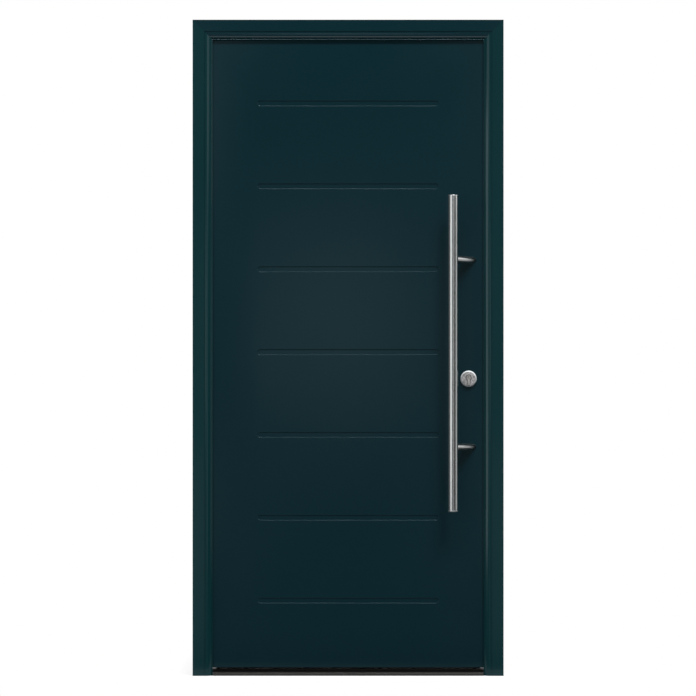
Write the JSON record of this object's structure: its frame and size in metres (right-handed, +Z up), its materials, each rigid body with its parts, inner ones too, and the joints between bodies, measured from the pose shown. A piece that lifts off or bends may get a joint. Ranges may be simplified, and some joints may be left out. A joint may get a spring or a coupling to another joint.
{
  "type": "front door with frame",
  "caption": "Inward opening front door: grooved steel leaf in an aluminium frame, with a long round bar handle outside, a lever inside and a multipoint lock.",
  "frame": {"origin": "underside of the threshold, in the middle of the frame's width and depth", "axes": "-Y faces outside, +Y inside, +X to the right seen from outside, +Z up"},
  "size_m": [1, 0.197, 2.11],
  "materials": {
    "frame_coat": "satin",
    "leaf_coat": "satin",
    "stainless": "brushed",
    "zinc_steel": "zinc plated",
    "aluminium": "anodised, satin",
    "dark_plastic": "matt",
    "seal_rubber": "matt",
    "foam": "cellular"
  },
  "bodies": {
    "frame": {"left_jamb_outer": "frame_coat", "left_jamb_isolators": "dark_plastic", "left_jamb_inner": "frame_coat", "right_jamb_outer": "frame_coat", "right_jamb_isolators": "dark_plastic", "right_jamb_inner": "frame_coat", "head_outer": "frame_coat", "head_isolators": "dark_plastic", "head_inner": "frame_coat", "corner_cleats": "aluminium", "threshold_outer": "aluminium", "threshold_core": "dark_plastic", "threshold_inner": "aluminium", "left_stop_seal": "seal_rubber", "right_stop_seal": "seal_rubber", "head_stop_seal": "seal_rubber", "strike_rail": "stainless", "frame_screws": "zinc_steel", "anchor_caps": "dark_plastic", "hinge_frame_part_low": "frame_coat", "hinge_frame_part_mid": "frame_coat", "hinge_frame_part_top": "frame_coat", "hinge_pins": "stainless"},
    "leaf": {"outer_skin": "leaf_coat", "inner_skin": "leaf_coat", "foam_core": "foam", "hinge_stile": "dark_plastic", "lock_stile": "dark_plastic", "top_rail": "dark_plastic", "bottom_rail": "dark_plastic", "bottom_seal": "seal_rubber", "lock_faceplate": "stainless", "lock_case": "zinc_steel", "hook_case_low": "zinc_steel", "hook_case_top": "zinc_steel", "cylinder_body": "stainless", "outer_rosette": "stainless", "inner_rosette": "stainless", "lever_rosette": "stainless", "bar_tube": "stainless", "bar_cap_low": "stainless", "bar_cap_top": "stainless", "bar_post_low": "stainless", "bar_post_top": "stainless", "post_bolts": "stainless", "hinge_leaf_part_low": "frame_coat", "hinge_leaf_part_mid": "frame_coat", "hinge_leaf_part_top": "frame_coat", "hinge_bushes": "dark_plastic", "leaf_screws": "zinc_steel"},
    "lever": {"lever_handle": "stainless", "lever_spindle": "zinc_steel", "lock_follower": "zinc_steel"},
    "latch": {"latch_bolt": "stainless"},
    "key_plugs": {"outer_plug": "stainless", "inner_plug": "stainless"},
    "dead_bolt": {"dead_bolt": "stainless"},
    "hook_low": {"hook_low": "stainless"},
    "hook_top": {"hook_top": "stainless"},
    "drive_rods": {"drive_rods": "zinc_steel"}
  },
  "joints": [
    {"name": "door_swing", "type": "hinge", "parent": "frame", "child": "leaf", "pos_m": [-0.46, 0.052, 0], "axis": [0, 0, 1], "range_deg": [0, 110]},
    {"name": "lever_turn", "type": "hinge", "parent": "leaf", "child": "lever", "pos_m": [0.388, 0.05, 1.051], "axis": [0, -1, 0], "range_deg": [0, 40], "stiffness_Nm_per_rad": 1.5, "springref_deg": -34.38},
    {"name": "latch_slide", "type": "slide", "parent": "leaf", "child": "latch", "axis": [-1, 0, 0], "range_m": [0, 0.012]},
    {"name": "key_turn", "type": "hinge", "parent": "leaf", "child": "key_plugs", "pos_m": [0.388, 0.0075, 0.959], "axis": [0, 1, 0], "range_deg": [0, 360]},
    {"name": "dead_bolt_slide", "type": "slide", "parent": "leaf", "child": "dead_bolt", "axis": [1, 0, 0], "range_m": [0, 0.02]},
    {"name": "hook_low_turn", "type": "hinge", "parent": "leaf", "child": "hook_low", "pos_m": [0.436, 0.0075, 0.351], "axis": [0, 1, 0], "range_deg": [0, 90]},
    {"name": "hook_top_turn", "type": "hinge", "parent": "leaf", "child": "hook_top", "pos_m": [0.436, 0.0075, 1.691], "axis": [0, 1, 0], "range_deg": [0, 90]},
    {"name": "rod_slide", "type": "slide", "parent": "leaf", "child": "drive_rods", "axis": [0, 0, 1], "range_m": [0, 0.012]}
  ],
  "couplings": [
    {"joint": "latch_slide", "follows": "lever_turn", "m_per_rad": 0.01718},
    {"joint": "dead_bolt_slide", "follows": "key_turn", "m_per_rad": 0.00318},
    {"joint": "hook_low_turn", "follows": "key_turn", "ratio": 0.2499},
    {"joint": "hook_top_turn", "follows": "key_turn", "ratio": 0.2499},
    {"joint": "rod_slide", "follows": "key_turn", "m_per_rad": 0.0019}
  ]
}
